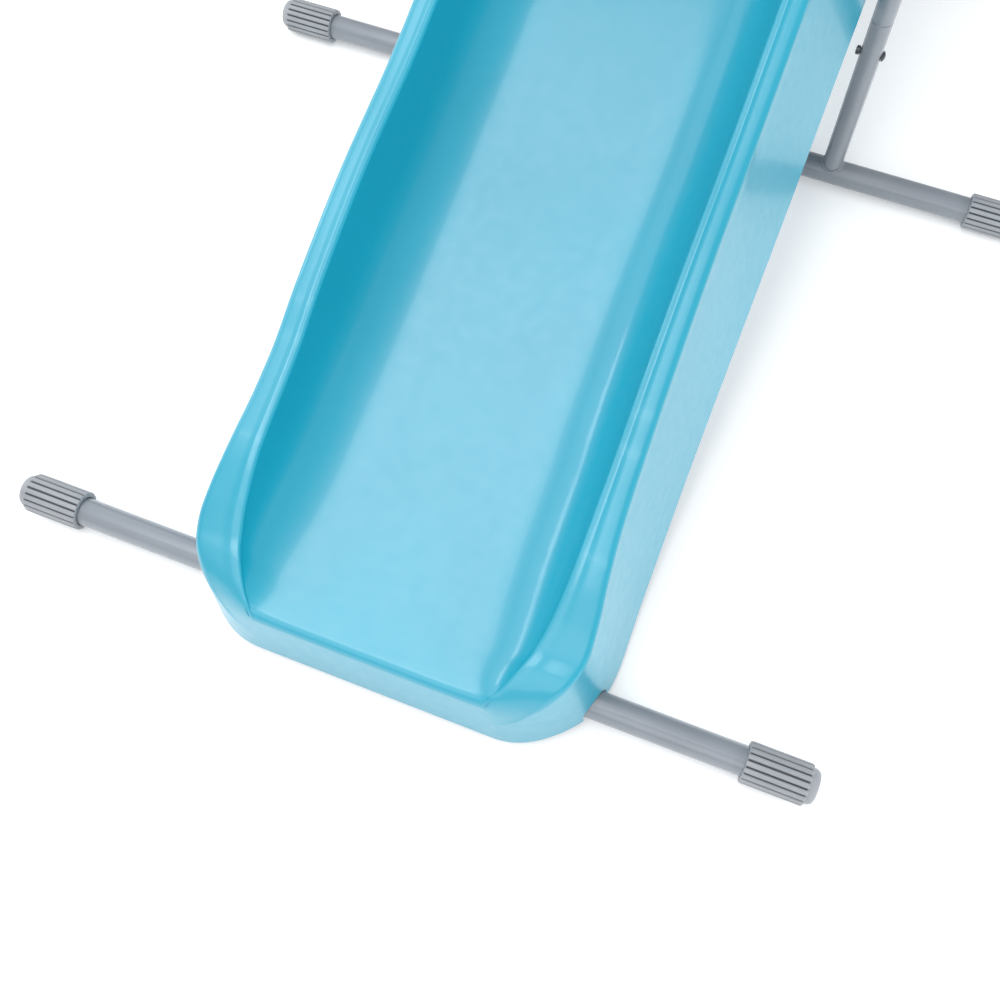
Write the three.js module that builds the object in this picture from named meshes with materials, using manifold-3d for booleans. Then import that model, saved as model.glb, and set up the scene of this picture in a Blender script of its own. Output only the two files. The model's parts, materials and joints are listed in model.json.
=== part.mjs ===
// Toddler slide: moulded chute on a folding tube frame with three base bars.
// Millimetres, +Z up. The chute runs down towards -Y and the ladder is at +Y.
import * as THREE from 'three';
import { mergeVertices } from 'three/addons/utils/BufferGeometryUtils.js';
import Module from 'manifold-3d';

const wasm = await Module();
wasm.setup();

// ---------------------------------------------------------------- driving dimensions
// Heights are above the floor. Lengths along Y are from the front base bar; the last step
// moves the whole slide so that the middle of its length is at Y = 0.
const GAP = 0.3;

const BAR_RADIUS = 14;
const BAR_WALL = 1.2;
const BAR_HALF_LENGTHS = { front: 384, middle: 439, rear: 439 };
const CAP_RADIUS = 19.5;
const CAP_RIB_DEPTH = 1.6;
const CAP_RIBS = 16;
const CAP_LENGTH = 58;
const CAP_DOME = 8;
const CAP_ENGAGED = 50;
const MIDDLE_BAR_Y = 690;
const REAR_BAR_Y = 1170;

const TUBE_RADIUS = 11;
const TUBE_WALL = 1.2;
const LEG_X = 232;
const RAIL_X = 257;
const STUB_TOP = 232;
const JOINT_BOLT_Z = 190;
const SPIGOT_RADIUS = 9.5;
const SPIGOT_LENGTH = 64;

const PIVOT_Y = 790;
const PIVOT_Z = 520;
const PIVOT_BOLT_RADIUS = 4;
const LEG_BEND_Z = 345;
const TUBE_PAST_PIVOT = 18;
const RAIL_TOP_Y = 948;
const RAIL_TOP_Z = 592;
const LEG_BEND_RADIUS = 90;
const RAIL_BEND_RADIUS = 62;
const REAR_STUB_LENGTH = 82;
const REAR_JOINT_DISTANCE = 56;
const REAR_SPIGOT_LENGTH = 50;
const SHOULDER_LENGTH = 3;
const PLUG_LENGTH = 7;
const PLUG_FLANGE = 3.5;
const PLUG_SPIGOT_RADIUS = 9.0;

const CHUTE_FRONT_Y = -60;
const CHUTE_REAR_Y = 1050;
const CHUTE_WALL = 4;
const CHUTE_CORNER = 68;
const LIP_ROLL = 10;
const FRONT_WALL = 5;
const RIM_ROUND = 12;
const FLAT_TO_RIM = 30;
const WALL_FOOT_REACH = 0.66;
const WALL_HEAD_DROP = 0.72;
const WALL_HEAD_LEAN = 7;
const WALL_STEPS = 6;
const MOST_WALL_LEAN = 3;
const HOOK_FLANGE_HALF_WIDTH = 110;
const HOOK_FLANGE_HEIGHT = 32;
const BAR_NOTCH_HALF_LENGTH = 260;
const BAR_NOTCH_CLEARANCE = 2;

const SIDE_BOLT_Y = 690;
const SIDE_BOLT_Z = 300;
const SIDE_SPACER_X = 196.8;
const SIDE_BOLT_NUT_X = 186.6;
const SIDE_HOLE_FROM_X = 150;
const SIDE_HOLE_TO_X = 230;
const SPACER_RADIUS = 8;
const SADDLE_X = 58;
const SADDLE_HALF_WIDTH = 16;
const SADDLE_HALF_DEPTH = 17;
const SADDLE_TOP = 90.5;
const SADDLE_SCREW_TOP = SADDLE_TOP + 3.5;
const SCREW_HEAD_RADIUS = 5.2;
const SCREW_HEAD_HEIGHT = 2.6;

const DECK_Z = 387;
const TREAD_DEPTH = 84;
const TREAD_THICKNESS = 24;
const TREAD_CORNER = 8;
const TREAD_GROOVE_DEPTH = 1.2;
const TREAD_RIB_PITCH = 12;
const TREAD_HOLE_DEPTH = 34;
const TREAD_HEIGHTS = [1, 2].map((step) => DECK_Z * step / 3 - TREAD_THICKNESS / 2);
const HOOK_TUBE_Z = DECK_Z - CHUTE_WALL - TUBE_RADIUS - GAP;
const BOLT_RADIUS = 3;
const BOLT_HEAD_RATIO = 1.75;
const TREAD_BOLT_HEAD_HEIGHT = 3.2;
const CUT_PAST = 5;

const SMOOTH = 16;
const HOLE_SIDES = 10;
const BEND_STEPS = 7;

// ---------------------------------------------------------------- materials
const moulded = { color: 0x92cbe0, roughness: 0.38, metalness: 0.0 };
const painted = { color: 0x8f959c, roughness: 0.42, metalness: 0.35 };
const capPlastic = { color: 0x878b90, roughness: 0.6, metalness: 0.0 };
const treadPlastic = { color: 0x9ba1a8, roughness: 0.55, metalness: 0.0 };
const blackPlastic = { color: 0x2c2f33, roughness: 0.5, metalness: 0.0 };
const zincSteel = { color: 0x4a4d52, roughness: 0.4, metalness: 0.8 };

const slide = new THREE.Group();

function place(name, geometry, finish) {
  const mesh = new THREE.Mesh(geometry, new THREE.MeshStandardMaterial(finish));
  mesh.name = name;
  slide.add(mesh);
  return mesh;
}

// ---------------------------------------------------------------- solids, joins and cuts
function toSolid(geometry) {
  const plain = geometry.clone();
  plain.deleteAttribute('normal');
  plain.deleteAttribute('uv');
  const merged = mergeVertices(plain, 1e-4);
  return new wasm.Manifold(new wasm.Mesh({
    numProp: 3,
    vertProperties: new Float32Array(merged.attributes.position.array),
    triVerts: new Uint32Array(merged.index.array),
  }));
}

function toGeometry(solid) {
  const mesh = solid.getMesh();
  const geometry = new THREE.BufferGeometry();
  geometry.setAttribute('position', new THREE.BufferAttribute(mesh.vertProperties, 3));
  geometry.setIndex(new THREE.BufferAttribute(mesh.triVerts, 1));
  geometry.computeVertexNormals();
  return geometry;
}

function cut(geometry, ...tools) {
  let solid = toSolid(geometry);
  for (const tool of tools) solid = solid.subtract(toSolid(tool));
  return toGeometry(solid);
}

function join(geometry, ...others) {
  let solid = toSolid(geometry);
  for (const other of others) solid = solid.add(toSolid(other));
  return toGeometry(solid);
}

function rod(radius, from, to, sides = SMOOTH) {
  const start = new THREE.Vector3(...from);
  const span = new THREE.Vector3(...to).sub(start);
  const geometry = new THREE.CylinderGeometry(radius, radius, span.length(), sides);
  const turn = new THREE.Quaternion().setFromUnitVectors(
    new THREE.Vector3(0, 1, 0), span.clone().normalize());
  geometry.applyQuaternion(turn);
  geometry.translate(start.x + span.x / 2, start.y + span.y / 2, start.z + span.z / 2);
  return geometry;
}

function box(low, high) {
  const size = high.map((value, i) => value - low[i]);
  const geometry = new THREE.BoxGeometry(...size);
  geometry.translate(...low.map((value, i) => value + size[i] / 2));
  return geometry;
}

function ring(outer, inner, from, to, sides = SMOOTH) {
  const length = new THREE.Vector3(...from).distanceTo(new THREE.Vector3(...to));
  const profile = [[inner, 0], [outer, 0], [outer, length], [inner, length], [inner, 0]];
  const geometry = new THREE.LatheGeometry(profile.map((p) => new THREE.Vector2(...p)), sides);
  const start = new THREE.Vector3(...from);
  const direction = new THREE.Vector3(...to).sub(start).normalize();
  geometry.applyQuaternion(new THREE.Quaternion().setFromUnitVectors(
    new THREE.Vector3(0, 1, 0), direction));
  geometry.translate(start.x, start.y, start.z);
  return geometry;
}

// A path that steps through given points, so that a straight run takes one step.
class SteppedPath extends THREE.Curve {
  constructor(points) {
    super();
    this.points = points;
    this.steps = points.length - 1;
  }

  getPointAt(u) {
    const i = Math.min(Math.floor(u * this.steps + 1e-9), this.steps - 1);
    return this.points[i].clone().lerp(this.points[i + 1], u * this.steps - i);
  }

  getPoint(u) {
    return this.getPointAt(u);
  }

  getTangentAt(u) {
    const i = Math.round(u * this.steps);
    const arrive = this.points[Math.max(i, 1)].clone().sub(this.points[Math.max(i, 1) - 1]).normalize();
    const next = Math.min(i + 1, this.steps);
    const depart = this.points[next].clone().sub(this.points[next - 1]).normalize();
    return arrive.add(depart).normalize();
  }
}

// A hollow tube swept along a path that lies in the plane x = constant.
function bentTube(path, outer, inner, sides = 12) {
  const section = new THREE.Shape().absarc(0, 0, outer, 0, 2 * Math.PI, false);
  section.holes.push(new THREE.Path().absarc(0, 0, inner, 0, 2 * Math.PI, true));
  return new THREE.ExtrudeGeometry(section, {
    steps: path.steps, extrudePath: path, curveSegments: sides / 2, bevelEnabled: false,
  });
}

// Straight runs joined by one bend at the middle corner, in the plane x = constant.
function bentPath(x, corners, radius) {
  const [start, corner, end] = corners.map(([y, z]) => new THREE.Vector3(x, y, z));
  const back = start.clone().sub(corner).normalize();
  const ahead = end.clone().sub(corner).normalize();
  const reach = radius / Math.tan(back.angleTo(ahead) / 2);
  const bend = new THREE.QuadraticBezierCurve3(corner.clone().addScaledVector(back, reach),
    corner, corner.clone().addScaledVector(ahead, reach));
  return new SteppedPath([start, ...bend.getPoints(BEND_STEPS), end]);
}

// ---------------------------------------------------------------- chute
// Smooth curve through [y, value] points.
function along(points, y) {
  const last = points.length - 1;
  if (y <= points[0][0]) return points[0][1];
  if (y >= points[last][0]) return points[last][1];
  let i = 0;
  while (y > points[i + 1][0]) i += 1;
  const slope = (k) => {
    const a = points[Math.max(k - 1, 0)];
    const b = points[Math.min(k + 1, last)];
    return (b[1] - a[1]) / (b[0] - a[0]);
  };
  const width = points[i + 1][0] - points[i][0];
  const t = (y - points[i][0]) / width;
  const h = 3 * t * t - 2 * t * t * t;
  const rise = slope(i) * width * (t - 2 * t * t + t * t * t);
  const fall = slope(i + 1) * width * (t * t * t - t * t);
  return points[i][1] * (1 - h) + points[i + 1][1] * h + rise + fall;
}

const FLOOR_HEIGHT = [[-60, 94], [0, 97], [60, 105], [130, 121], [200, 143], [300, 174],
  [420, 206], [520, 238], [650, 282], [800, 336], [900, 371], [960, 386], [1000, 387],
  [1050, 387]];
const RIM_RISE = [[-60, 2], [-50, 9], [-40, 18], [-25, 28], [-10, 34], [20, 49], [60, 65],
  [110, 72], [150, 76], [200, 85], [300, 92], [420, 90], [520, 93], [650, 95], [940, 95],
  [1000, 78], [1050, 40]];
const RIM_HALF_WIDTH = [[-60, 184], [20, 180], [60, 175], [110, 171], [200, 169], [400, 168],
  [1050, 170]];
const RIM_INNER_HALF_WIDTH = [[-60, 106], [-50, 114], [-40, 121], [-25, 129], [-10, 135],
  [20, 141], [70, 144], [1050, 145]];
const FLOOR_FLAT_HALF_WIDTH = [[-60, 60], [800, 60], [880, 62], [980, 100], [1050, 108]];
const RIM_TILT = [[-60, 34], [-50, 10], [-38, 2], [-20, 0], [1050, 0]];
const SKIRT_FLARE = [[-60, 1], [-40, 4], [0, 16], [60, 28], [250, 34], [560, 40], [940, 40],
  [1050, 20]];
const SKIRT_BOTTOM = [[-60, 9], [-30, 12], [70, 12], [160, 34], [250, 74], [500, 177], [780, 280],
  [900, 314], [950, 324], [1005, 382], [1050, 383.4]];

function chuteSection(y) {
  const s = y - CHUTE_FRONT_Y;
  const inset = s < CHUTE_CORNER
    ? CHUTE_CORNER - Math.sqrt(CHUTE_CORNER ** 2 - (CHUTE_CORNER - s) ** 2) : 0;
  const drop = s < LIP_ROLL ? LIP_ROLL - Math.sqrt(LIP_ROLL ** 2 - (LIP_ROLL - s) ** 2) : 0;
  const floor = along(FLOOR_HEIGHT, y) - drop;
  const rise = along(RIM_RISE, y);
  const outer = along(RIM_HALF_WIDTH, y) - inset;
  const round = Math.min(RIM_ROUND, rise * 0.45);
  const rimInner = Math.min(along(RIM_INNER_HALF_WIDTH, y), outer - 2.2 * round);
  const flat = Math.min(along(FLOOR_FLAT_HALF_WIDTH, y), rimInner - FLAT_TO_RIM);
  const skirtX = outer + along(SKIRT_FLARE, y);
  const bottom = along(SKIRT_BOTTOM, y);
  const top = floor + rise;
  const tilt = along(RIM_TILT, y);
  const half = [[0, floor], [flat, floor]];
  const wall = new THREE.CubicBezierCurve(
    new THREE.Vector2(flat, floor),
    new THREE.Vector2(flat + WALL_FOOT_REACH * (rimInner - flat), floor),
    new THREE.Vector2(rimInner - WALL_HEAD_LEAN, top - WALL_HEAD_DROP * rise),
    new THREE.Vector2(rimInner, top - round));
  for (const p of wall.getPoints(WALL_STEPS).slice(1)) half.push([p.x, p.y]);
  for (const turn of [45, 90]) {
    const a = THREE.MathUtils.degToRad(turn);
    half.push([rimInner + round * (1 - Math.cos(a)), top - round * (1 - Math.sin(a))]);
  }
  for (const turn of [0, 45, 90]) {
    const a = THREE.MathUtils.degToRad(turn);
    half.push([outer - round * (1 - Math.sin(a)), top - tilt - round * (1 - Math.cos(a))]);
  }
  for (const t of [0.5, 1]) {
    half.push([THREE.MathUtils.lerp(outer, skirtX, t),
      THREE.MathUtils.lerp(top - tilt - round, bottom, t)]);
  }
  const lean = s < CHUTE_CORNER
    ? Math.min(MOST_WALL_LEAN, Math.hypot(1, (CHUTE_CORNER - s) / Math.max(CHUTE_CORNER - inset, 1))) : 1;
  const under = s < FRONT_WALL ? flatUnderside(half, bottom) : offsetUnderside(half, lean);
  const mirror = (points) => points.slice(1).reverse().map(([x, z]) => [-x, z]);
  const raise = ([x, z]) => new THREE.Vector3(x, y, z);
  return {
    upper: [...mirror(half), ...half].map(raise),
    lower: [...mirror(under), ...under].map(raise),
  };
}

function flatUnderside(half, bottom) {
  const reach = half[half.length - 1][0] - CHUTE_WALL;
  return half.map((_, i) => [reach * i / (half.length - 1), bottom]);
}

function offsetUnderside(half, lean) {
  return half.map(([x, z], i) => {
    const before = i === 0 ? [-half[1][0], half[1][1]] : half[i - 1];
    const after = half[Math.min(i + 1, half.length - 1)];
    const dx = after[0] - before[0];
    const dz = after[1] - before[1];
    const length = Math.hypot(dx, dz);
    if (i === half.length - 1) return [x - CHUTE_WALL * lean, z];
    const sideways = dz < 0 ? lean : 1;
    return [x + CHUTE_WALL * sideways * dz / length, z - CHUTE_WALL * dx / length];
  });
}

// Closed body through sections that each have an upper and a lower line of equal count.
function loft(sections) {
  const wide = sections[0].upper.length;
  const count = 2 * wide;
  const positions = sections.flatMap(({ upper, lower }) => [...upper, ...lower.slice().reverse()])
    .flatMap((p) => [p.x, p.y, p.z]);
  const index = [];
  const quad = (a, b, c, d) => index.push(a, b, c, a, c, d);
  for (let k = 0; k < sections.length - 1; k++) {
    for (let i = 0; i < count; i++) {
      const next = (i + 1) % count;
      quad(k * count + i, k * count + next, (k + 1) * count + next, (k + 1) * count + i);
    }
  }
  const last = (sections.length - 1) * count;
  for (let i = 0; i < wide - 1; i++) {
    quad(i, count - 1 - i, count - 2 - i, i + 1);
    quad(last + i, last + i + 1, last + count - 2 - i, last + count - 1 - i);
  }
  const geometry = new THREE.BufferGeometry();
  geometry.setAttribute('position', new THREE.Float32BufferAttribute(positions, 3));
  geometry.setIndex(index);
  return geometry;
}

function chute() {
  const nearFront = [0, 2, FRONT_WALL - 0.5, FRONT_WALL + 0.5, 10, 16, 22, 32, 42, 54, 68, 96];
  const stations = nearFront.map((s) => CHUTE_FRONT_Y + s);
  for (let y = 70; y < 900; y += 65) stations.push(y);
  for (let y = 930; y <= CHUTE_REAR_Y; y += 20) stations.push(y);
  const shell = loft(stations.map(chuteSection));
  const flangeTop = DECK_Z - CHUTE_WALL / 2;
  const hookFlange = box(
    [-HOOK_FLANGE_HALF_WIDTH, CHUTE_REAR_Y - FRONT_WALL, flangeTop - HOOK_FLANGE_HEIGHT],
    [HOOK_FLANGE_HALF_WIDTH, CHUTE_REAR_Y, flangeTop]);
  const notch = BAR_RADIUS + BAR_NOTCH_CLEARANCE;
  const barNotch = rod(notch, [-BAR_NOTCH_HALF_LENGTH, 0, CAP_RADIUS],
    [BAR_NOTCH_HALF_LENGTH, 0, CAP_RADIUS]);
  const notchMouth = box([-BAR_NOTCH_HALF_LENGTH, -notch, -CUT_PAST],
    [BAR_NOTCH_HALF_LENGTH, notch, CAP_RADIUS]);
  const sideHoles = sides().map(([, side]) => rod(BOLT_RADIUS + GAP,
    [side * SIDE_HOLE_FROM_X, SIDE_BOLT_Y, SIDE_BOLT_Z],
    [side * SIDE_HOLE_TO_X, SIDE_BOLT_Y, SIDE_BOLT_Z], HOLE_SIDES));
  const screwRoom = SADDLE_SCREW_TOP + 0.5;
  const saddleHoles = sides().map(([, side]) => rod(BOLT_RADIUS + GAP,
    [side * SADDLE_X, 0, CAP_RADIUS], [side * SADDLE_X, 0, screwRoom], HOLE_SIDES));
  return cut(join(shell, hookFlange), barNotch, notchMouth, ...sideHoles, ...saddleHoles);
}

function sides() {
  return [['left', -1], ['right', 1]];
}

// ---------------------------------------------------------------- base bars and foot caps
const BARS = [['front', 0], ['middle', MIDDLE_BAR_Y], ['rear', REAR_BAR_Y]];

// A stub's foot is shaped to the round bar that it is welded to.
function saddleCut(y) {
  const reach = RAIL_X + TUBE_RADIUS + CUT_PAST;
  return rod(BAR_RADIUS + GAP, [-reach, y, CAP_RADIUS], [reach, y, CAP_RADIUS]);
}

function baseBar(end, y) {
  const half = BAR_HALF_LENGTHS[end];
  const bar = ring(BAR_RADIUS, BAR_RADIUS - BAR_WALL, [-half, y, CAP_RADIUS], [half, y, CAP_RADIUS]);
  if (end !== 'front') return bar;
  const holes = sides().map(([, side]) => rod(BOLT_RADIUS + GAP,
    [side * SADDLE_X, y, 0], [side * SADDLE_X, y, 2 * CAP_RADIUS], HOLE_SIDES));
  return cut(bar, ...holes);
}

// Ribbed plastic sleeve with a closed, slightly domed outer end.
function footCap(side, end, y) {
  const outline = new THREE.Shape();
  const pitch = 2 * Math.PI / CAP_RIBS;
  const ribFlanks = [[-0.28, 0], [0.28, 0], [0.36, CAP_RIB_DEPTH], [0.64, CAP_RIB_DEPTH]];
  const points = [];
  for (let rib = 0; rib < CAP_RIBS; rib++) {
    for (const [turn, depth] of ribFlanks) {
      const angle = -Math.PI / 2 + (rib + turn) * pitch;
      const radius = depth === 0 ? CAP_RADIUS / Math.cos(0.28 * pitch) : CAP_RADIUS - depth;
      points.push(new THREE.Vector2(radius * Math.cos(angle), radius * Math.sin(angle)));
    }
  }
  outline.setFromPoints(points);
  const ribbed = new THREE.ExtrudeGeometry(outline, { depth: CAP_LENGTH, bevelEnabled: false });
  const domeRadius = CAP_RADIUS - CAP_RIB_DEPTH - 1.2;
  const domeProfile = [[0, CAP_LENGTH - 2], [domeRadius, CAP_LENGTH - 2],
    [domeRadius, CAP_LENGTH + 0.4 * CAP_DOME], [domeRadius * 0.8, CAP_LENGTH + 0.85 * CAP_DOME],
    [0, CAP_LENGTH + CAP_DOME]];
  const dome = new THREE.LatheGeometry(domeProfile.map((p) => new THREE.Vector2(...p)), SMOOTH);
  dome.rotateX(Math.PI / 2);
  const bore = rod(BAR_RADIUS + GAP, [0, 0, -CUT_PAST], [0, 0, CAP_ENGAGED + GAP]);
  const cap = toGeometry(toSolid(ribbed).add(toSolid(dome)).subtract(toSolid(bore)));
  cap.rotateY(Math.PI / 2);
  if (side < 0) cap.rotateZ(Math.PI);
  cap.translate(side * (BAR_HALF_LENGTHS[end] - CAP_ENGAGED), y, CAP_RADIUS);
  return cap;
}

// ---------------------------------------------------------------- front legs
function middleStub(side) {
  const x = side * LEG_X;
  const stub = ring(TUBE_RADIUS, TUBE_RADIUS - TUBE_WALL,
    [x, MIDDLE_BAR_Y, CAP_RADIUS], [x, MIDDLE_BAR_Y, STUB_TOP]);
  return cut(stub, saddleCut(MIDDLE_BAR_Y), boltHole(x, MIDDLE_BAR_Y, JOINT_BOLT_Z));
}

function boltHole(x, y, z, radius = BOLT_RADIUS) {
  const reach = TUBE_RADIUS + CUT_PAST;
  return rod(radius + GAP, [x - reach, y, z], [x + reach, y, z], HOLE_SIDES);
}

function legLean() {
  return new THREE.Vector2(PIVOT_Y - MIDDLE_BAR_Y, PIVOT_Z - LEG_BEND_Z).normalize();
}

// Where a tube that runs through the pivot ends, as [y, z].
function pastPivot(direction) {
  return [PIVOT_Y + TUBE_PAST_PIVOT * direction.x, PIVOT_Z + TUBE_PAST_PIVOT * direction.y];
}

// Upper leg: a narrower spigot below, one bend, and a flat run up to the pivot.
function upperLeg(side) {
  const x = side * LEG_X;
  const end = pastPivot(legLean());
  const start = [MIDDLE_BAR_Y, STUB_TOP + GAP];
  const path = bentPath(x, [start, [MIDDLE_BAR_Y, LEG_BEND_Z], end], LEG_BEND_RADIUS);
  const tube = bentTube(path, TUBE_RADIUS, TUBE_RADIUS - TUBE_WALL);
  const spigot = ring(SPIGOT_RADIUS, SPIGOT_RADIUS - TUBE_WALL,
    [x, MIDDLE_BAR_Y, STUB_TOP - SPIGOT_LENGTH], [x, MIDDLE_BAR_Y, STUB_TOP + SHOULDER_LENGTH]);
  const shoulder = ring(TUBE_RADIUS, SPIGOT_RADIUS - TUBE_WALL,
    [x, MIDDLE_BAR_Y, STUB_TOP + GAP], [x, MIDDLE_BAR_Y, STUB_TOP + SHOULDER_LENGTH]);
  return cut(join(tube, spigot, shoulder), boltHole(x, MIDDLE_BAR_Y, JOINT_BOLT_Z),
    boltHole(x, SIDE_BOLT_Y, SIDE_BOLT_Z), boltHole(x, PIVOT_Y, PIVOT_Z, PIVOT_BOLT_RADIUS));
}

// ---------------------------------------------------------------- bolts along X
// A dome head outside, a plain shank, and a cap nut inside, as one clamped set.
function throughBolt(side, outerFace, innerFace, y, z, radius = BOLT_RADIUS) {
  const head = radius * BOLT_HEAD_RATIO;
  const at = (x) => [side * x, y, z];
  const profile = [[0, -head * 0.62], [head * 0.55, -head * 0.55], [head * 0.9, -head * 0.3],
    [head, 0], [radius, 0.01], [radius, 1], [0, 1]];
  const dome = new THREE.LatheGeometry(profile.map((p) => new THREE.Vector2(...p)), 16);
  dome.applyQuaternion(new THREE.Quaternion().setFromUnitVectors(
    new THREE.Vector3(0, 1, 0), new THREE.Vector3(-side, 0, 0)));
  dome.translate(...at(outerFace + GAP));
  const shank = rod(radius, at(outerFace + 1), at(innerFace - GAP - 1), 16);
  return join(dome, shank, rod(head, at(innerFace - GAP), at(innerFace - GAP - radius * 1.5), 6));
}

// ---------------------------------------------------------------- ladder
function railDirection() {
  return new THREE.Vector3(0, RAIL_TOP_Y - REAR_BAR_Y, RAIL_TOP_Z - CAP_RADIUS).normalize();
}

// Y of the ladder rails' centreline at a height.
function railY(z) {
  return REAR_BAR_Y + (z - CAP_RADIUS) * (RAIL_TOP_Y - REAR_BAR_Y) / (RAIL_TOP_Z - CAP_RADIUS);
}

function onRail(x, distance) {
  const p = railDirection().multiplyScalar(distance);
  return [x, REAR_BAR_Y + p.y, CAP_RADIUS + p.z];
}

function rearStub(side) {
  const x = side * RAIL_X;
  const stub = ring(TUBE_RADIUS, TUBE_RADIUS - TUBE_WALL, onRail(x, 0), onRail(x, REAR_STUB_LENGTH));
  const [, y, z] = onRail(x, REAR_JOINT_DISTANCE);
  return cut(stub, saddleCut(REAR_BAR_Y), boltHole(x, y, z));
}

function ladderRail(side) {
  const x = side * RAIL_X;
  const ahead = new THREE.Vector2(PIVOT_Y - RAIL_TOP_Y, PIVOT_Z - RAIL_TOP_Z).normalize();
  const start = onRail(x, REAR_STUB_LENGTH + GAP);
  const path = bentPath(x, [start.slice(1), [RAIL_TOP_Y, RAIL_TOP_Z], pastPivot(ahead)],
    RAIL_BEND_RADIUS);
  const tube = bentTube(path, TUBE_RADIUS, TUBE_RADIUS - TUBE_WALL);
  const spigot = ring(SPIGOT_RADIUS, SPIGOT_RADIUS - TUBE_WALL,
    onRail(x, REAR_STUB_LENGTH - REAR_SPIGOT_LENGTH), onRail(x, REAR_STUB_LENGTH + SHOULDER_LENGTH));
  const shoulder = ring(TUBE_RADIUS, SPIGOT_RADIUS - TUBE_WALL,
    onRail(x, REAR_STUB_LENGTH + GAP), onRail(x, REAR_STUB_LENGTH + SHOULDER_LENGTH));
  const [, jointY, jointZ] = onRail(x, REAR_JOINT_DISTANCE);
  const treadHoles = TREAD_HEIGHTS.map((z) => boltHole(x, railY(z), z));
  return cut(join(tube, spigot, shoulder), boltHole(x, jointY, jointZ), ...treadHoles,
    boltHole(x, railY(HOOK_TUBE_Z), HOOK_TUBE_Z), boltHole(x, PIVOT_Y, PIVOT_Z, PIVOT_BOLT_RADIUS));
}

// Moulded tread with rounded edges, shallow grip ribs on top and a bolt hole in each end.
function tread(z) {
  const y = railY(z);
  const half = RAIL_X - TUBE_RADIUS - GAP;
  const corner = TREAD_CORNER;
  const low = -TREAD_THICKNESS / 2;
  const high = TREAD_THICKNESS / 2;
  const edge = TREAD_DEPTH / 2;
  const profile = new THREE.Shape();
  profile.moveTo(-edge + corner, low);
  profile.lineTo(edge - corner, low);
  profile.absarc(edge - corner, low + corner, corner, -Math.PI / 2, 0, false);
  profile.absarc(edge - corner, high - corner, corner, 0, Math.PI / 2, false);
  for (const rib of [2, 1, 0, -1, -2]) {
    const middle = rib * TREAD_RIB_PITCH;
    profile.lineTo(middle + 4, high);
    profile.lineTo(middle + 3, high - TREAD_GROOVE_DEPTH);
    profile.lineTo(middle - 3, high - TREAD_GROOVE_DEPTH);
    profile.lineTo(middle - 4, high);
  }
  profile.absarc(-edge + corner, high - corner, corner, Math.PI / 2, Math.PI, false);
  profile.absarc(-edge + corner, low + corner, corner, Math.PI, 1.5 * Math.PI, false);
  const body = new THREE.ExtrudeGeometry(profile, {
    depth: 2 * half, bevelEnabled: false, curveSegments: 4,
  });
  body.rotateX(Math.PI / 2);
  body.rotateZ(Math.PI / 2);
  body.translate(-half, y, z);
  const holes = sides().map(([, side]) => rod(BOLT_RADIUS + GAP,
    [side * (half + CUT_PAST), y, z], [side * (half - TREAD_HOLE_DEPTH), y, z], HOLE_SIDES));
  return cut(body, ...holes);
}

function hookTube() {
  const half = RAIL_X - TUBE_RADIUS - GAP;
  const y = railY(HOOK_TUBE_Z);
  return ring(TUBE_RADIUS, TUBE_RADIUS - TUBE_WALL, [-half, y, HOOK_TUBE_Z], [half, y, HOOK_TUBE_Z]);
}

function treadBolt(side, z) {
  const at = (x) => [side * x, railY(z), z];
  const outer = RAIL_X + TUBE_RADIUS + GAP;
  const tip = RAIL_X - TUBE_RADIUS - TREAD_HOLE_DEPTH + 2;
  const head = rod(BOLT_RADIUS * BOLT_HEAD_RATIO, at(outer), at(outer + TREAD_BOLT_HEAD_HEIGHT));
  return join(head, rod(BOLT_RADIUS, at(outer + 1), at(tip), HOLE_SIDES));
}

// ---------------------------------------------------------------- small pieces
function endPlug(x, [y, z], direction) {
  const at = (d) => [x, y + direction.x * d, z + direction.y * d];
  const cap = rod(TUBE_RADIUS, at(GAP), at(GAP + PLUG_FLANGE));
  return join(cap, rod(PLUG_SPIGOT_RADIUS, at(-PLUG_LENGTH), at(GAP + 1)));
}

function railEndPlug(side) {
  const direction = new THREE.Vector2(PIVOT_Y - RAIL_TOP_Y, PIVOT_Z - RAIL_TOP_Z).normalize();
  return endPlug(side * RAIL_X, pastPivot(direction), direction);
}

function legEndPlug(side) {
  const direction = legLean();
  return endPlug(side * LEG_X, pastPivot(direction), direction);
}

function frontSaddle(side) {
  const x = side * SADDLE_X;
  const block = box([x - SADDLE_HALF_WIDTH, -SADDLE_HALF_DEPTH, CAP_RADIUS + 3],
    [x + SADDLE_HALF_WIDTH, SADDLE_HALF_DEPTH, SADDLE_TOP]);
  const reach = SADDLE_HALF_WIDTH + CUT_PAST;
  return cut(block, rod(BAR_RADIUS + GAP, [x - reach, 0, CAP_RADIUS], [x + reach, 0, CAP_RADIUS]),
    rod(BOLT_RADIUS + GAP, [x, 0, CAP_RADIUS], [x, 0, SADDLE_TOP + CUT_PAST], HOLE_SIDES));
}

function saddleScrew(side) {
  const x = side * SADDLE_X;
  const underBar = CAP_RADIUS - BAR_RADIUS - GAP;
  const head = rod(SCREW_HEAD_RADIUS, [x, 0, underBar - SCREW_HEAD_HEIGHT], [x, 0, underBar]);
  const shank = rod(BOLT_RADIUS, [x, 0, underBar - 1], [x, 0, SADDLE_SCREW_TOP], HOLE_SIDES);
  return join(head, shank);
}

function spacer(side, outer, inner, y, z, hole) {
  return ring(SPACER_RADIUS, hole + GAP, [side * inner, y, z], [side * outer, y, z]);
}

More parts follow.
